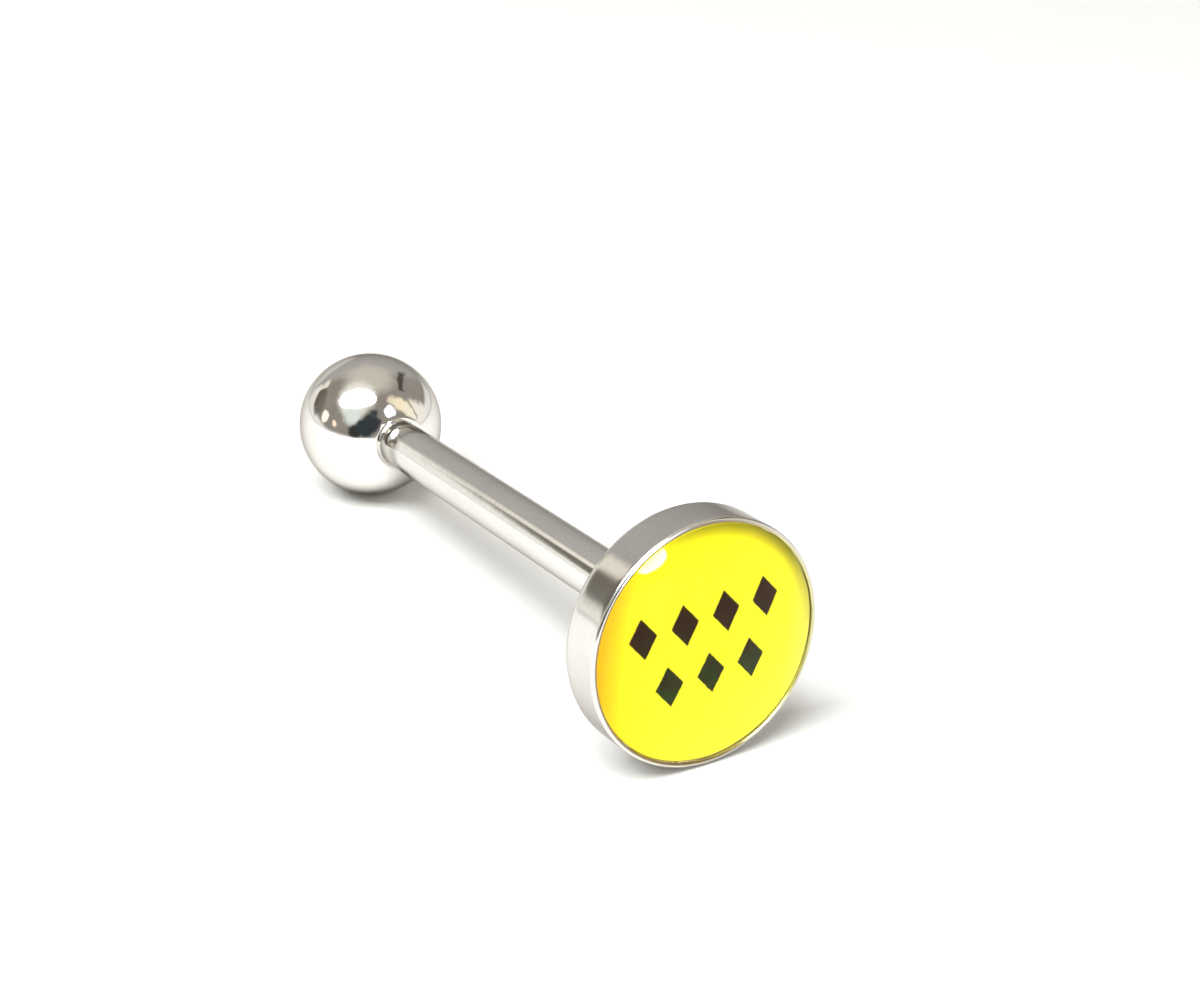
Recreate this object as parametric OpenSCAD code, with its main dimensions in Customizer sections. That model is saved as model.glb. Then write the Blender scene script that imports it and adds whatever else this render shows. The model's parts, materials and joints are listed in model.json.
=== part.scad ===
// Tongue barbell: a straight bar with a ball that screws off at one end and a
// round cup at the other, which holds a printed disc under a clear resin dome.
// It lies on the plane z = 0, on the ball and on the back edge of the cup.

/* [Bar] */
// Diameter of the straight bar
bar_d = 1.6; // [1.5:0.1:2.4]
// Length of bar that shows between the ball and the cup
bar_len = 17.5; // [10:0.5:30]
// Chamfer round both ends of the bar
bar_chamfer = 0.08; // [0.02:0.01:0.14]

/* [Ball] */
// Diameter of the ball
ball_d = 5; // [4:0.25:7]
// Width of the flat ring on the ball that shows round the bar
ball_flat_rim = 0.1; // [0.05:0.05:0.3]

/* [Screw stud in the ball] */
// Diameter of the stud, reduced from the bar
stud_d = 1.2; // [0.8:0.1:1.3]
// Length of the stud, and the travel that frees the ball
stud_len = 3; // [2:0.25:3.5]
// Chamfer round the stud's end
stud_chamfer = 0.15; // [0.05:0.05:0.3]
// Running clearance round the stud
stud_play = 0.03; // [0.01:0.01:0.08]
// Room left in the bore past the stud's end
bore_room = 0.15; // [0.05:0.05:0.3]

/* [Cup] */
// Outside diameter of the cup
cup_d = 7.4; // [6:0.1:10]
// Depth of the cup from its back face to its lip
cup_depth = 1.6; // [1.3:0.1:3]
// Depth of the recess in the cup's front
cup_recess = 0.4; // [0.3:0.05:0.6]
// Thickness of the lip round the recess
cup_lip = 0.15; // [0.15:0.05:0.5]
// Radius of the cup's back edge
cup_back_round = 0.3; // [0.1:0.05:0.5]
// Radius of the lip's outer edge
cup_front_round = 0.1; // [0.05:0.01:0.14]

/* [Spigot in the cup] */
// Diameter of the spigot that holds the cup on the bar
spigot_d = 1.2; // [0.8:0.1:1.4]
// Metal left between the spigot's end and the recess
spigot_cover = 0.3; // [0.2:0.05:0.5]

/* [Printed disc and resin] */
// Thickness of the printed disc
picture_t = 0.1; // [0.05:0.01:0.2]
// Rise of the resin dome above the lip
dome_rise = 0.5; // [0.2:0.05:1]

/* [Fits] */
// Gap between pieces that are fixed together
fit_gap = 0.02; // [0.01:0.01:0.05]

/* [Hidden] */
$fn = 128;

bar_r = bar_d / 2;
ball_r = ball_d / 2;
stud_r = stud_d / 2;
cup_r = cup_d / 2;
spigot_r = spigot_d / 2;

// Places along the axis, from the ball's centre towards the cup
flat_r = bar_r + ball_flat_rim;
flat_at = sqrt(ball_r * ball_r - flat_r * flat_r);
bar_from = flat_at + fit_gap;
bar_to = bar_from + bar_len;
cup_at = bar_to + fit_gap;
lip_at = cup_at + cup_depth;
recess_at = lip_at - cup_recess;
picture_at = recess_at + fit_gap;
resin_at = picture_at + picture_t + fit_gap;

spigot_len = cup_depth - cup_recess - spigot_cover;
recess_r = cup_r - cup_lip;
filling_r = recess_r - fit_gap;
dome_r = (filling_r * filling_r + dome_rise * dome_rise) / (2 * dome_rise);
dome_centre = lip_at + dome_rise - dome_r;

// Lean of the axis when the ball and the cup's back edge both touch the surface
edge_r = cup_r - cup_back_round;
edge_at = cup_at + cup_back_round;
edge_drop = ball_r - cup_back_round;
lean = acos(edge_drop / sqrt(edge_r * edge_r + edge_at * edge_at)) - atan2(edge_at, edge_r);

// Furthest reach along x, at the dome or at the lip, with the ball's centre at x = 0
dome_reach = dome_centre * cos(lean) + dome_r;
lip_reach = (lip_at - cup_front_round) * cos(lean) + (cup_r - cup_front_round) * sin(lean)
    + cup_front_round;
middle_x = (max(dome_reach, lip_reach) - ball_r) / 2;

// Stands a piece that is drawn along z on the barbell's leaning axis
module on_axis() {
    translate([-middle_x, 0, ball_r]) rotate([0, 90 - lean, 0]) children();
}

// Half outline of the bar with its stud and its spigot, radius across and length up
module bar_outline() {
    stud_end = bar_from - stud_len;
    spigot_end = bar_to + spigot_len;
    polygon([
        [0, stud_end],
        [stud_r - stud_chamfer, stud_end],
        [stud_r, stud_end + stud_chamfer],
        [stud_r, bar_from],
        [bar_r - bar_chamfer, bar_from],
        [bar_r, bar_from + bar_chamfer],
        [bar_r, bar_to - bar_chamfer],
        [bar_r - bar_chamfer, bar_to],
        [spigot_r, bar_to],
        [spigot_r, spigot_end],
        [0, spigot_end]
    ]);
}

// Half outline of the cup, from its back face at zero
module cup_outline() {
    socket_r = spigot_r + fit_gap;
    difference() {
        union() {
            square([cup_r - cup_back_round, cup_depth / 2]);
            translate([0, cup_back_round])
                square([cup_r, cup_depth - cup_back_round - cup_front_round]);
            translate([0, cup_depth / 2]) square([cup_r - cup_front_round, cup_depth / 2]);
            translate([cup_r - cup_back_round, cup_back_round]) circle(r = cup_back_round);
            translate([cup_r - cup_front_round, cup_depth - cup_front_round])
                circle(r = cup_front_round);
        }
        translate([0, cup_depth - cup_recess]) square([recess_r, cup_recess + cup_depth]);
        translate([0, -spigot_len]) square([socket_r, 2 * spigot_len]);
    }
}

module bar() {
    color([0.78, 0.77, 0.75]) on_axis() rotate_extrude() bar_outline();
}

module ball() {
    bore_depth = stud_len + bore_room;
    color([0.66, 0.64, 0.61]) on_axis() difference() {
        sphere(r = ball_r);
        translate([-ball_r, -ball_r, flat_at]) cube(ball_d);
        translate([0, 0, flat_at - bore_depth]) cylinder(h = bore_depth + ball_r, r = stud_r + stud_play);
    }
}

module cup() {
    color([0.72, 0.71, 0.7]) on_axis() translate([0, 0, cup_at]) rotate_extrude() cup_outline();
}

module picture() {
    color([0.93, 0.78, 0.08]) on_axis() translate([0, 0, picture_at]) cylinder(h = picture_t, r = filling_r);
}

module resin_dome() {
    color([0.97, 0.95, 0.85, 0.35]) on_axis() intersection() {
        translate([0, 0, resin_at]) cylinder(h = cup_recess + dome_rise, r = filling_r);
        translate([0, 0, dome_centre]) sphere(r = dome_r);
    }
}

bar();
ball();
cup();
picture();
resin_dome();
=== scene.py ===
import json
from math import asin, cos, degrees, radians, sin, sqrt

import bpy
from mathutils import Matrix, Vector


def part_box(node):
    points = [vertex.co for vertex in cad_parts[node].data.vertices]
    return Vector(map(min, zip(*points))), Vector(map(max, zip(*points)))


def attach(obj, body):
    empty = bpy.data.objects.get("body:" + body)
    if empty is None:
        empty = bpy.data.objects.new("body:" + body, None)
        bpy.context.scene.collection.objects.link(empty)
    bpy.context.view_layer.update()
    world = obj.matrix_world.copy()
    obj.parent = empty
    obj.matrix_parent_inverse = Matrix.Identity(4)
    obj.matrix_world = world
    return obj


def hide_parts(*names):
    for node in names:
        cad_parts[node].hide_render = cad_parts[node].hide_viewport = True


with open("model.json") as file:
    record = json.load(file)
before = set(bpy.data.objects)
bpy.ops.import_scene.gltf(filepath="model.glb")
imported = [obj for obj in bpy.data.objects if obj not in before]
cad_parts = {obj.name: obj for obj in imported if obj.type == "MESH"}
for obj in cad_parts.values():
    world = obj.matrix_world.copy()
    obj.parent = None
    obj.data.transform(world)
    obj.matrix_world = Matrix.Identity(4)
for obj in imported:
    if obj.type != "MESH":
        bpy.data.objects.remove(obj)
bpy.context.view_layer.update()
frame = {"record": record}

MM = 0.001

# The barbell's axis, from the frame: places along it are counted from the ball's centre
SEAT = frame["record"]["mounts"][0]
AXIS = Vector(SEAT["axis"]).normalized()
BALL_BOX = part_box("ball")
BALL_R = (BALL_BOX[1][2] - BALL_BOX[0][2]) / 2
BALL_CENTRE = Vector((BALL_BOX[0][0] + BALL_R, 0, BALL_BOX[0][2] + BALL_R))
BAR_LENGTH = SEAT["dims"]["length_mm"] * MM
BAR_FROM = (Vector(SEAT["pos_m"]) - BALL_CENTRE).dot(AXIS) - BAR_LENGTH / 2
BAR_TO = BAR_FROM + BAR_LENGTH


def half_width(node):
    """Radius of a round node, from its box across the axis."""
    low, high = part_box(node)
    return (high[1] - low[1]) / 2


BAR_R = half_width("bar")
CUP_R = half_width("cup")
FILLING_R = half_width("picture")

# Fine sizes that the solids share
FIT_GAP = 0.02 * MM
STUD_R = 0.6 * MM
STUD_LENGTH = 3 * MM
BORE_R = 0.63 * MM
BORE_DEPTH = 3.15 * MM
BALL_FLAT_R = BAR_R + 0.1 * MM
CUP_DEPTH = 1.6 * MM
CUP_RECESS = 0.4 * MM
CUP_LIP = 0.15 * MM
CUP_BACK_ROUND = 0.3 * MM
CUP_FRONT_ROUND = 0.1 * MM
SPIGOT_R = 0.6 * MM
SPIGOT_LENGTH = 0.9 * MM
BAR_CHAMFER = 0.08 * MM
STUD_CHAMFER = 0.15 * MM
PICTURE_T = 0.1 * MM
DOME_RISE = 0.5 * MM

# Finer detail, only in the looks
THREAD_PITCH = 0.25 * MM
THREAD_DEPTH = 0.09 * MM
THREAD_START = 0.2 * MM
THREAD_RELIEF = 0.1 * MM
BORE_MOUTH = 0.05 * MM
FLAT_EDGE = 0.02 * MM
LIP_INNER_ROUND = 0.03 * MM
PICTURE_EDGE = 0.015 * MM

# How finely the round pieces are turned
BAR_SIDES = 96
PICTURE_SIDES = 144
FINE_SIDES = 192
BAR_LENGTHS = 24
BACK_RINGS = 12
SIDE_RINGS = 8
POLE_ANGLE = 0.15
SHARP_ANGLE = radians(35)

BALL_FLAT_AT = sqrt(BALL_R**2 - BALL_FLAT_R**2)
CUP_AT = BAR_TO + FIT_GAP
LIP_AT = CUP_AT + CUP_DEPTH
RECESS_AT = LIP_AT - CUP_RECESS
PICTURE_AT = RECESS_AT + FIT_GAP
RESIN_AT = PICTURE_AT + PICTURE_T + FIT_GAP
DOME_R = (FILLING_R**2 + DOME_RISE**2) / (2 * DOME_RISE)

# Turned frame: X runs across the disc, Y up it and Z along the barbell
ACROSS = Vector((0, 1, 0))
TURN = Matrix((ACROSS, AXIS.cross(ACROSS), AXIS)).transposed()
AXIS_FRAME = Matrix.Translation(BALL_CENTRE) @ TURN.to_4x4()


def arc(centre, radius, start, end, steps):
    """Points (along, out) of an arc, with angles in degrees from the axis' direction."""
    points = []
    for i in range(steps + 1):
        a = radians(start + (end - start) * i / steps)
        points.append((centre[0] + radius * cos(a), centre[1] + radius * sin(a)))
    return points


def turned(name, outline, sides):
    """Lathes a piece: a disc at the outline's first point is extruded through the others."""
    bpy.ops.object.select_all(action="DESELECT")
    along, out = outline[0]
    bpy.ops.mesh.primitive_circle_add(
        vertices=sides, radius=out, fill_type="NGON", location=(0, 0, along)
    )
    piece = bpy.context.object
    piece.name = name
    bpy.ops.object.transform_apply(location=True, rotation=True, scale=True)
    bpy.ops.object.mode_set(mode="EDIT")
    bpy.ops.mesh.select_all(action="SELECT")
    for next_along, next_out in outline[1:]:
        move = {"value": (0, 0, next_along - along)}
        bpy.ops.mesh.extrude_region_move(TRANSFORM_OT_translate=move)
        ratio = next_out / out
        bpy.ops.transform.resize(value=(ratio, ratio, 1), center_override=(0, 0, next_along))
        along, out = next_along, next_out
    bpy.ops.mesh.select_all(action="SELECT")
    bpy.ops.mesh.normals_make_consistent(inside=False)
    bpy.ops.object.mode_set(mode="OBJECT")
    piece.data.transform(AXIS_FRAME)
    bpy.ops.object.shade_smooth_by_angle(angle=SHARP_ANGLE)
    return piece


class Value:
    """A socket of a material's nodes: sums and products on it add Math nodes."""

    def __init__(self, finish, socket):
        self.finish = finish
        self.socket = socket

    def maths(self, operation, *others, first=None):
        inputs = [self, *others] if first is None else [first, self]
        settings = {"operation": operation}
        return self.finish.node("ShaderNodeMath", settings, dict(enumerate(inputs)))

    def __add__(self, other):
        return self.maths("ADD", other)

    def __sub__(self, other):
        return self.maths("SUBTRACT", other)

    def __mul__(self, other):
        return self.maths("MULTIPLY", other)

    def __truediv__(self, other):
        return self.maths("DIVIDE", other)

    def __radd__(self, other):
        return self.maths("ADD", first=other)

    def __rsub__(self, other):
        return self.maths("SUBTRACT", first=other)

    def __rmul__(self, other):
        return self.maths("MULTIPLY", first=other)

    def __abs__(self):
        return self.maths("ABSOLUTE")

    def step(self, low, high):
        """0 below low, 1 above high, smooth between; low may be the larger."""
        settings = {"interpolation_type": "SMOOTHSTEP"}
        sockets = {"Value": self, "From Min": low, "From Max": high}
        return self.finish.node("ShaderNodeMapRange", settings, sockets)


class Finish:
    """The nodes of a material or of the world."""

    def __init__(self, owner):
        owner.use_nodes = True
        self.owner = owner
        self.tree = owner.node_tree
        self.tree.nodes.clear()

    def node(self, kind, settings=None, sockets=None, out=0):
        """Adds a node, sets it up, links or fills its sockets and returns one output."""
        node = self.tree.nodes.new(kind)
        for key, value in (settings or {}).items():
            setattr(node, key, value)
        for key, value in (sockets or {}).items():
            if isinstance(value, Value):
                self.tree.links.new(value.socket, node.inputs[key])
            else:
                node.inputs[key].default_value = value
        return Value(self, node.outputs[out])

    def noise(self, place, size, detail=3.0, roughness=0.5):
        """Noise from 0 to 1 whose blotches are about size across."""
        sockets = {"Vector": place, "Scale": 1 / size, "Detail": detail, "Roughness": roughness}
        return self.node("ShaderNodeTexNoise", None, sockets)

    def vector(self, operation, *inputs, out=0):
        """Vector Math on its inputs."""
        settings = {"operation": operation}
        return self.node("ShaderNodeVectorMath", settings, dict(enumerate(inputs)), out)

    def mix(self, share, first, second):
        """A colour between two colours, which are sockets or (red, green, blue)."""
        first, second = [c if isinstance(c, Value) else (*c, 1) for c in (first, second)]
        settings = {"data_type": "RGBA"}
        return self.node("ShaderNodeMix", settings, {0: share, 6: first, 7: second}, out=2)

    def object_place(self):
        """Object coordinates, in the shared frame."""
        return self.node("ShaderNodeTexCoord", out=3)

    def on_axis(self):
        """Object coordinates in the turned frame, counted from the ball's centre."""
        turn = AXIS_FRAME.inverted()
        sockets = {
            "Vector": self.object_place(),
            "Location": turn.to_translation(),
            "Rotation": turn.to_euler(),
        }
        return self.node("ShaderNodeMapping", None, sockets)

    def parts(self, place):
        """The three numbers of a place."""
        first = self.node("ShaderNodeSeparateXYZ", None, {0: place})
        node = first.socket.node
        return [Value(self, node.outputs[i]) for i in range(3)]

    def from_axis(self, place):
        """Distance of a place from the barbell's axis."""
        x, y, _ = self.parts(place)
        return (x * x + y * y).maths("SQRT")

    def bump(self, height, depth, normal=None):
        """A normal from a height of 0 to 1 that stands for depth metres."""
        sockets = {"Height": height, "Distance": depth, "Strength": 1.0}
        if normal:
            sockets["Normal"] = normal
        return self.node("ShaderNodeBump", None, sockets)

    def surface(self, shader):
        output = self.tree.nodes.new("ShaderNodeOutputMaterial")
        self.tree.links.new(shader.socket, output.inputs["Surface"])
        return self.owner


# What steel keeps of the light near its outline, where it dulls to a thin grey line
EDGE_TINT = (0.5, 0.48, 0.46, 1)

# Steel's smudges, grain, scratches, lathe lines, blotches and waves: how wide each is
SMUDGE = 1.6 * MM
GRAIN = 0.09 * MM
SCRATCH = 0.5 * MM
SCRATCH_STRETCH = (1, 1, 14)
LATHE_LINE = 0.05 * MM
BLOTCH = 3.1 * MM
WAVE = 1.1 * MM
DEEP_PITTING = 0.0012 * MM
LINE_DEPTH = 0.004 * MM
DULLED = 0.86

# Inside of the cup's lip: in the shade on the left, and lit by the print on the right
LIP_SHADE = (0.16, 0.09, 0.03)
LIP_GLOW = (0.6, 0.56, 0.3)


def shaded_lip(f, place, base):
    """Paints shade and the print's reflected glow on the inside of the lip, which shows through
    the resin.
    """
    x, _, along = f.parts(place)
    inside = f.from_axis(place).step(FILLING_R + 0.1 * MM, FILLING_R + 0.07 * MM)
    inside *= along.step(LIP_AT - 0.1 * MM, LIP_AT - 0.05 * MM)
    # Painted shade on the left, a painted reflection of the print on the right
    painted_lip_light = f.mix((x / FILLING_R).step(0.1, 0.8), LIP_SHADE, LIP_GLOW)
    return f.mix(inside * 0.85, base, painted_lip_light)


def steel(name, colour, gloss, pitting, lines, waves, lip=False):
    """Polished surgical steel with smudges, fine pits, lathe lines and soft waves."""
    f = Finish(bpy.data.materials.new(name))
    place = f.on_axis()
    turning = f.node("ShaderNodeCombineXYZ", None, {0: f.from_axis(place), 2: f.parts(place)[2]})
    smudges = f.noise(place, SMUDGE, 4.0).step(0.45, 0.72)
    grain = f.noise(place, GRAIN, 3.0, 0.6)
    scratches = f.noise(f.vector("MULTIPLY", place, SCRATCH_STRETCH), SCRATCH, 5.0, 0.6)
    rings = f.noise(turning, LATHE_LINE, 3.0, 0.65)
    blotches = f.noise(place, BLOTCH, 2.0)
    pits = grain.step(0.42, 0.7) * (pitting / DEEP_PITTING)
    dull = tuple(c * DULLED for c in colour)
    base = f.mix(smudges * 0.35 + blotches * 0.3 + pits * 0.6, colour, dull)
    # On the cup: painted shade and a painted reflection of the print inside the lip
    if lip:
        base = shaded_lip(f, place, base)
    worn = smudges * 0.05 + grain * 0.03 + scratches.step(0.62, 0.7) * 0.06
    wavy = f.bump(f.noise(place, WAVE, 1.0), waves)
    lined = f.bump(rings, lines * LINE_DEPTH, wavy)
    sockets = {
        "Base Color": base,
        "Metallic": 1.0,
        "Roughness": gloss + worn + rings * lines,
        "Normal": f.bump(grain, pitting, lined),
        "Specular Tint": EDGE_TINT,
    }
    return f.surface(f.node("ShaderNodeBsdfPrincipled", None, sockets))


BOARD_PALE = (0.66, 0.655, 0.64)
BOARD_DARKER = (0.63, 0.625, 0.61)


def floor_finish():
    """Pale matt studio board."""
    f = Finish(bpy.data.materials.new("pale_board"))
    fibres = f.noise(f.object_place(), 4 * MM, 3.0)
    sockets = {
        "Base Color": f.mix(fibres, BOARD_PALE, BOARD_DARKER),
        "Roughness": 0.6,
        "Specular IOR Level": 0.2,
    }
    return f.surface(f.node("ShaderNodeBsdfPrincipled", None, sockets))


# Print on the disc in mm: rows of lozenges as (height, first place across, how many)
LOZENGE_ROWS = [(0.82, -1.95, 4), (-0.82, -1.3, 3)]
LOZENGE_PITCH = 1.3
LOZENGE_HALF = (0.44, 0.62)
LOZENGE_RAGGED = 0.16
PRINT_TILT = radians(5)

# Colours of the print: its yellow, and what the dome and the lip make of it near the edge,
# painted in: painted shade in orange on the left and olive at the top right, a painted pale
# reflection on the right and a painted dark shade line at the edge
YELLOW = (0.53, 0.49, 0.008)
PALER_YELLOW = (0.555, 0.52, 0.011)
ORANGE_SHADE_LEFT = (0.44, 0.195, 0.003)
OLIVE_SHADE_TOP = (0.13, 0.11, 0.006)
PALE_REFLECTION_RIGHT = (0.33, 0.31, 0.038)
EDGE_SHADE_LINE = (0.09, 0.05, 0.01)
BROWN_INK = (0.01, 0.003, 0.0)
GREEN_INK = (0.005, 0.015, 0.0)


def lozenges(f, place, across, up):
    """Where the ink lies: 1 in the lozenges and 0 between them."""
    print_x = across * cos(PRINT_TILT) + up * sin(PRINT_TILT)
    print_y = up * cos(PRINT_TILT) - across * sin(PRINT_TILT)
    ragged = (f.noise(place, 0.1 * MM, 3.0) - 0.5) * LOZENGE_RAGGED
    ink = None
    for row_y, first, count in LOZENGE_ROWS:
        cell = (print_x - first) / LOZENGE_PITCH
        index = cell.maths("ROUND").maths("MAXIMUM", 0.0).maths("MINIMUM", count - 1.0)
        beside = abs(cell - index) * LOZENGE_PITCH
        above = abs(print_y - row_y)
        size = beside / LOZENGE_HALF[0] + above / LOZENGE_HALF[1] + ragged
        row = size.step(1.08, 0.94)
        ink = row if ink is None else ink.maths("MAXIMUM", row)
    return ink


def printed_disc():
    """Yellow print with dark lozenges, with the lip's and the dome's shade and reflection
    painted round its edge.
    """
    f = Finish(bpy.data.materials.new("yellow_print"))
    place = f.on_axis()
    x, y, _ = f.parts(place)
    across = x / MM
    up = y / MM
    edge = FILLING_R / MM
    radius = (across * across + up * up).maths("SQRT")
    patchy = f.noise(place, 0.25 * MM, 4.0, 0.6)
    rim = (radius / edge).step(0.8, 1.0)
    # Masks of painted light near the edge: shade on the left, shade at the top right, a
    # reflection on the right, and a dark shade line round the edge except on the right
    left = ((up * 0.1 - across) / edge).step(0.45, 1.0)
    top_right_shade = ((across * 0.62 + up * 0.78) / edge).step(0.25, 0.8) * rim
    right = ((across - up * 0.1) / edge).step(0.72, 1.0)
    edge_shade = radius.step(edge - 0.09, edge - 0.03) * (across / edge).step(0.9, 0.3)
    colour = f.mix(f.noise(place, 1.4 * MM, 2.0), YELLOW, PALER_YELLOW)
    # Painted shade and a painted reflection mixed into the print's yellow near its edge
    colour = f.mix(left * 0.9, colour, ORANGE_SHADE_LEFT)
    colour = f.mix(top_right_shade * 0.95, colour, OLIVE_SHADE_TOP)
    colour = f.mix(right * 0.75, colour, PALE_REFLECTION_RIGHT)
    colour = f.mix(edge_shade * 0.85, colour, EDGE_SHADE_LINE)
    greenish = (up / edge).step(0.3, -0.5) * patchy.step(0.3, 0.6)
    cover = lozenges(f, place, across, up) * (1.0 - patchy.step(0.72, 0.85) * 0.2)
    sockets = {
        "Base Color": f.mix(cover, colour, f.mix(greenish, BROWN_INK, GREEN_INK)),
        "Roughness": 0.5 + patchy * 0.1,
        "Normal": f.bump(f.noise(place, 0.05 * MM, 2.0), 0.001 * MM),
        "Specular IOR Level": 0.02,
    }
    return f.surface(f.node("ShaderNodeBsdfPrincipled", None, sockets))


# Outputs of the nodes that tell what a ray is and which side it meets
CAMERA_RAY = 0
SHADOW_RAY = 1
BACK_SIDE = 6


def clear_resin():
    """Clear cast resin that lets the lamps through to the print."""
    f = Finish(bpy.data.materials.new("clear_resin"))
    place = f.on_axis()
    near_lip = f.from_axis(place).step(2.2 * MM, 3.3 * MM)
    wavy = f.bump(f.noise(place, 1.5 * MM, 1.0), 0.006 * MM)
    puddled = f.bump(f.noise(place, 0.7 * MM, 1.0) * near_lip, 0.005 * MM, wavy)
    dust = f.noise(place, 0.4 * MM, 4.0).step(0.6, 0.75)
    sockets = {
        "Base Color": (0.99, 0.985, 0.95, 1),
        "Roughness": 0.02 + dust * 0.03,
        "Transmission Weight": 1.0,
        "IOR": 1.5,
        "Specular Tint": (0.2, 0.2, 0.2, 1),
        "Normal": puddled,
    }
    glass = f.node("ShaderNodeBsdfPrincipled", None, sockets)
    through = f.node("ShaderNodeBsdfTransparent", None, {"Color": (0.98, 0.98, 0.96, 1)})
    shadow = f.node("ShaderNodeLightPath", out=SHADOW_RAY)
    passing = shadow.maths("MAXIMUM", f.node("ShaderNodeNewGeometry", out=BACK_SIDE))
    return f.surface(f.node("ShaderNodeMixShader", None, {0: passing, 1: glass, 2: through}))


def ring_steps(start, end, count):
    """Places that split a stretch into equal lengths, without its start."""
    return [start + (end - start) * i / count for i in range(1, count + 1)]


def make_bar():
    stud_end = BAR_FROM - STUD_LENGTH
    root = STUD_R - THREAD_DEPTH
    outline = [(stud_end, STUD_R - STUD_CHAMFER), (stud_end + STUD_CHAMFER, STUD_R)]
    turns = int((STUD_LENGTH - 2 * THREAD_START) / THREAD_PITCH)
    for i in range(turns):
        crest = stud_end + THREAD_START + i * THREAD_PITCH
        outline += [
            (crest, STUD_R),
            (crest + 0.45 * THREAD_PITCH, root),
            (crest + 0.9 * THREAD_PITCH, STUD_R),
        ]
    outline += [
        (BAR_FROM - 1.2 * THREAD_RELIEF, STUD_R),
        (BAR_FROM - THREAD_RELIEF, root),
        (BAR_FROM, root),
        (BAR_FROM, BAR_R - BAR_CHAMFER),
        (BAR_FROM + 0.3 * BAR_CHAMFER, BAR_R - 0.45 * BAR_CHAMFER),
        (BAR_FROM + BAR_CHAMFER, BAR_R),
    ]
    lengths = ring_steps(BAR_FROM + BAR_CHAMFER, BAR_TO - BAR_CHAMFER, BAR_LENGTHS)
    outline += [(place, BAR_R) for place in lengths]
    outline += [
        (BAR_TO - 0.3 * BAR_CHAMFER, BAR_R - 0.45 * BAR_CHAMFER),
        (BAR_TO, BAR_R - BAR_CHAMFER),
        (BAR_TO, SPIGOT_R),
        (BAR_TO + SPIGOT_LENGTH, SPIGOT_R),
    ]
    return turned("bar_polished", outline, BAR_SIDES)


def make_ball():
    flat_angle = degrees(asin(BALL_FLAT_R / BALL_R))
    outline = [
        (BALL_FLAT_AT - BORE_DEPTH, BORE_R),
        (BALL_FLAT_AT - BORE_MOUTH, BORE_R),
        (BALL_FLAT_AT, BORE_R + BORE_MOUTH),
        (BALL_FLAT_AT, BALL_FLAT_R - FLAT_EDGE),
    ]
    outline += arc((0, 0), BALL_R, flat_angle + 0.3, 179.4, 96)
    return turned("ball_mirror", outline, FINE_SIDES)


def make_cup():
    socket_r = SPIGOT_R + FIT_GAP
    back_r = CUP_R - CUP_BACK_ROUND
    inner_r = CUP_R - CUP_LIP
    back_at = CUP_AT + CUP_BACK_ROUND
    front_at = LIP_AT - CUP_FRONT_ROUND
    outline = [(CUP_AT + SPIGOT_LENGTH, socket_r), (CUP_AT, socket_r)]
    outline += [(CUP_AT, out) for out in ring_steps(socket_r, back_r, BACK_RINGS)[:-1]]
    outline += arc((back_at, back_r), CUP_BACK_ROUND, 180, 90, 12)
    outline += [(place, CUP_R) for place in ring_steps(back_at, front_at, SIDE_RINGS)[:-1]]
    outline += arc((front_at, CUP_R - CUP_FRONT_ROUND), CUP_FRONT_ROUND, 90, 0, 8)
    lip_centre = (LIP_AT - LIP_INNER_ROUND, inner_r + LIP_INNER_ROUND)
    outline += arc(lip_centre, LIP_INNER_ROUND, 0, -90, 4)
    outline += [(RECESS_AT, inner_r)]
    return turned("cup_turned", outline, FINE_SIDES)


def make_picture():
    outline = [
        (PICTURE_AT, FILLING_R - PICTURE_EDGE),
        (PICTURE_AT + PICTURE_EDGE, FILLING_R),
        (PICTURE_AT + PICTURE_T - PICTURE_EDGE, FILLING_R),
        (PICTURE_AT + PICTURE_T, FILLING_R - PICTURE_EDGE),
        (PICTURE_AT + PICTURE_T, FILLING_R * 0.5),
    ]
    return turned("picture_print", outline, PICTURE_SIDES)


def make_resin():
    half_angle = degrees(asin(FILLING_R / DOME_R))
    outline = [(RESIN_AT, FILLING_R)]
    outline += arc((LIP_AT + DOME_RISE - DOME_R, 0), DOME_R, half_angle, POLE_ANGLE, 40)
    return turned("resin_clear", outline, FINE_SIDES)


def give(piece, material, node, body):
    """Gives a piece its finish and its body, and hides the node it stands in for."""
    piece.data.materials.clear()
    piece.data.materials.append(material)
    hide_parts(node)
    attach(piece, body)


# Camera, worked out from the photograph's view
VIEW_TURN = radians(58.6)
VIEW_RISE = radians(24.6)
VIEW_ROLL = radians(0.9)
VIEW_DISTANCE = 68.9 * MM
VIEW_SHIFT = (-2.57 * MM, -0.82 * MM)
FOCAL_PX = 2193
PHOTO_WIDTH_PX = 1200
SENSOR_WIDTH_MM = 36
NEAREST = 1 * MM
FURTHEST = 20


def view_directions():
    """The camera's right, its up and the direction from the barbell to it."""
    level = cos(VIEW_RISE)
    back = Vector((sin(VIEW_TURN) * level, -cos(VIEW_TURN) * level, sin(VIEW_RISE)))
    right = Vector((cos(VIEW_TURN), sin(VIEW_TURN), 0))
    up = back.cross(right)
    rolled_right = cos(VIEW_ROLL) * right + sin(VIEW_ROLL) * up
    rolled_up = cos(VIEW_ROLL) * up - sin(VIEW_ROLL) * right
    return rolled_right, rolled_up, back


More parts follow.
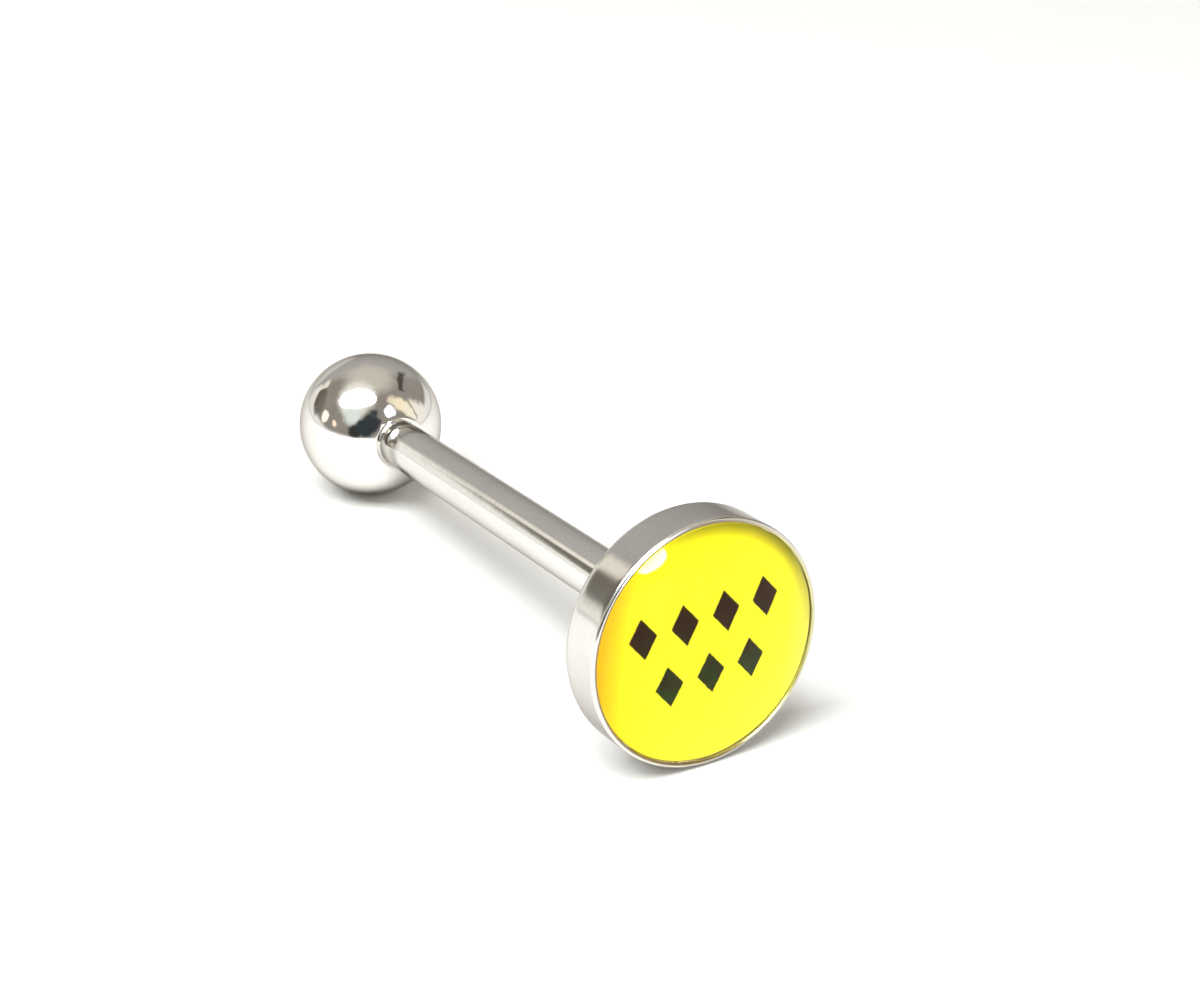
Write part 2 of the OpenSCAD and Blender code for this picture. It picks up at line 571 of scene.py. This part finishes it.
def make_camera():
    right, up, back = view_directions()
    middle = BALL_CENTRE + AXIS * (LIP_AT / 2)
    place = middle + back * VIEW_DISTANCE - right * VIEW_SHIFT[0] - up * VIEW_SHIFT[1]
    data = bpy.data.cameras.new("camera")
    data.sensor_width = SENSOR_WIDTH_MM
    data.lens = FOCAL_PX / PHOTO_WIDTH_PX * SENSOR_WIDTH_MM
    data.clip_start = NEAREST
    data.clip_end = FURTHEST
    camera = bpy.data.objects.new("camera", data)
    bpy.context.scene.collection.objects.link(camera)
    turn = Matrix((right, up, back)).transposed().to_4x4()
    camera.matrix_world = Matrix.Translation(place) @ turn
    bpy.context.scene.camera = camera


def soft_light(name, towards, long_side, distance, size, power, colour=(1, 1, 1)):
    """A soft oval lamp in a direction from the barbell, its longer side turned as given."""
    away = Vector(towards).normalized()
    side = Vector(long_side)
    side = (side - side.dot(away) * away).normalized()
    data = bpy.data.lights.new(name, "AREA")
    data.shape = "ELLIPSE"
    data.size, data.size_y = size
    data.energy = power
    data.color = colour
    lamp = bpy.data.objects.new(name, data)
    lamp.visible_camera = False
    bpy.context.scene.collection.objects.link(lamp)
    turn = Matrix((side, away.cross(side), away)).transposed().to_4x4()
    lamp.matrix_world = Matrix.Translation(away * distance) @ turn


# Pale and dark things in the room that polished steel shows. Each fades out between two
# angles, in degrees: (direction, inner angle, outer angle, colour)
ROOM_SPOTS = [
    # Grey wall behind and pale ceiling
    ((-0.85, 0.35, 0.45), 30, 48, (0.57, 0.55, 0.525)),
    ((-0.2, 0.1, 0.97), 10, 40, (0.8, 0.75, 0.66)),
    # White low down behind
    ((-0.98, 0.05, 0.12), 12, 18, (0.95, 0.94, 0.9)),
    ((-0.86, -0.5, 0.12), 14, 17.5, (1.2, 1.18, 1.1)),
    # Brown and pale on the left
    ((-0.66, -0.69, 0.3), 8, 16, (0.24, 0.22, 0.19)),
    ((-0.8, -0.38, 0.45), 3, 8, (1.15, 1.08, 0.94)),
    ((-0.77, -0.59, 0.26), 4, 6, (0.17, 0.155, 0.125)),
    ((-0.75, -0.55, 0.37), 6.5, 9.5, (0.2, 0.18, 0.145)),
    # Cream on the right, from high up to low down
    ((0.54, 0.36, 0.76), 3, 9, (1.1, 0.98, 0.74)),
    ((0.57, 0.5, 0.65), 5, 12, (1.25, 1.1, 0.8)),
    ((0.58, 0.64, 0.5), 5, 12, (1.3, 1.15, 0.85)),
    ((0.52, 0.78, 0.35), 8, 18, (1.25, 1.15, 0.95)),
    ((0.36, 0.92, 0.12), 8, 20, (1.2, 1.15, 1.05)),
    # Glow round the window and under it
    ((0.18, -0.47, 0.86), 20, 34, (1.1, 1.1, 1.0)),
    ((0.45, -0.72, 0.53), 4, 20, (0.97, 1.08, 1.02)),
    # Dark in front, from low down on the left to high up
    ((0.62, -0.77, 0.15), 6, 13, (0.05, 0.05, 0.045)),
    ((0.8, -0.52, 0.3), 13, 19, (0.045, 0.06, 0.07)),
    ((0.87, -0.3, 0.4), 6, 14, (0.05, 0.06, 0.065)),
    ((0.77, -0.38, 0.52), 5, 10, (0.05, 0.06, 0.068)),
    ((0.74, -0.24, 0.63), 3, 8, (0.07, 0.08, 0.1)),
    # Small lamps: a bluish and a warm one, and two on the left
    ((0.77, 0.21, 0.6), 6, 11, (2.6, 2.8, 3.2)),
    ((0.97, -0.06, 0.24), 3, 6, (2.5, 2.4, 2.2)),
    ((-0.33, -0.91, 0.25), 4, 8, (1.8, 1.6, 1.3)),
    ((0.03, -0.98, 0.2), 3, 6, (1.5, 1.2, 0.9)),
]

# The room's walls, its dark beam and its brown pole
ROOM_LIGHT = 0.88
LOW_WHITE = (1.1, 1.1, 1.07)
WALL_DARKER = (0.3, 0.275, 0.24)
WALL_PALER = (0.44, 0.41, 0.37)
WALL_FOOT = (-0.04, 0.06)
FOOT_RISE_BEHIND = 0.16
BEAM = (0.05, 0.045, 0.035)
POLE = (0.4, 0.33, 0.22)

# How far the outlines of the room's things ripple, and how finely
RIPPLE = 0.16
RIPPLES = 6.0

# Plain pale backdrop behind the floor's far edge
BACKDROP = (0.9, 0.9, 0.89)


def rippled(f, towards):
    """Directions with a ripple, so that no thing in the room is a plain circle."""
    sockets = {"Vector": towards, "Scale": RIPPLES, "Detail": 2.0}
    ripple = f.node("ShaderNodeTexNoise", None, sockets, out=1)
    centred = f.vector("ADD", towards, (-RIPPLE / 2,) * 3)
    return f.vector("NORMALIZE", f.vector("MULTIPLY_ADD", ripple, (RIPPLE,) * 3, centred))


def make_world():
    """The room: white low down, warm grey above, with a few lamps and dark things."""
    world = bpy.data.worlds.new("studio")
    bpy.context.scene.world = world
    f = Finish(world)
    towards = f.node("ShaderNodeTexCoord", out=0)
    x, y, z = f.parts(towards)
    behind = (x * sin(VIEW_TURN) - y * cos(VIEW_TURN)).step(0.5, -0.3)
    wall = (z - behind * FOOT_RISE_BEHIND).step(*WALL_FOOT)
    mottled = f.noise(towards, 0.5, 2.0)
    colour = f.mix(wall, LOW_WHITE, f.mix(mottled, WALL_DARKER, WALL_PALER))
    wavering = rippled(f, towards)
    for direction, inner, outer, spot in ROOM_SPOTS:
        near = f.vector("DOT_PRODUCT", wavering, Vector(direction).normalized(), out=1)
        share = near.step(cos(radians(outer)), cos(radians(inner)))
        colour = f.mix(share, colour, spot)
    x, y, z = f.parts(wavering)
    beam = abs(y + x * 0.14 - 0.67).step(0.055, 0.03) * x.step(-0.5, -0.35)
    beam *= x.step(0.28, 0.18) * z.step(0.1, 0.3)
    colour = f.mix(beam * 0.85, colour, BEAM)
    pole = abs(x * 0.87 - y * 0.5).step(0.045, 0.02) * y.step(0.5, 0.6)
    pole *= z.step(0.62, 0.54) * z.step(0.1, 0.2)
    colour = f.mix(pole * 0.75, colour, POLE)
    colour = f.mix(f.node("ShaderNodeLightPath", out=CAMERA_RAY), colour, BACKDROP)
    shader = f.node("ShaderNodeBackground", None, {"Color": colour, "Strength": ROOM_LIGHT})
    output = f.tree.nodes.new("ShaderNodeOutputWorld")
    f.tree.links.new(shader.socket, output.inputs["Surface"])


def make_floor():
    bpy.ops.object.select_all(action="DESELECT")
    bpy.ops.mesh.primitive_plane_add(size=3, location=(0, 0, 0))
    floor = bpy.context.object
    floor.name = "studio_floor"
    floor.data.materials.append(floor_finish())


make_camera()
make_world()
make_floor()

soft_light(
    "window",
    towards=(0.18, -0.45, 0.87),
    long_side=(0.61, 0.67, 0.27),
    distance=0.35,
    size=(0.37, 0.2),
    power=2.4,
    colour=(0.96, 0.98, 1),
)
soft_light(
    "low_lamp",
    towards=(0.975, 0.197, 0.107),
    long_side=(0.19, -0.98, 0),
    distance=0.3,
    size=(0.056, 0.029),
    power=0.38,
)
soft_light(
    "strip_lamp",
    towards=(0.983, 0.142, 0.114),
    long_side=(-0.039, 0.174, 0.085),
    distance=0.3,
    size=(0.06, 0.011),
    power=0.14,
)

BAR_STEEL = steel(
    "bar_steel",
    colour=(0.88, 0.87, 0.85),
    gloss=0.07,
    pitting=0.0009 * MM,
    lines=0.03,
    waves=0.002 * MM,
)
BALL_STEEL = steel(
    "ball_steel",
    colour=(0.85, 0.83, 0.8),
    gloss=0.04,
    pitting=0.0002 * MM,
    lines=0.0,
    waves=0.012 * MM,
)
CUP_STEEL = steel(
    "cup_steel",
    colour=(0.8, 0.785, 0.76),
    gloss=0.07,
    pitting=0.0007 * MM,
    lines=0.06,
    waves=0.002 * MM,
    lip=True,
)

give(make_bar(), BAR_STEEL, "bar", "barbell")
give(make_ball(), BALL_STEEL, "ball", "ball")
give(make_cup(), CUP_STEEL, "cup", "barbell")
give(make_picture(), printed_disc(), "picture", "barbell")
give(make_resin(), clear_resin(), "resin_dome", "barbell")

bpy.context.scene.view_settings.view_transform = "Standard"
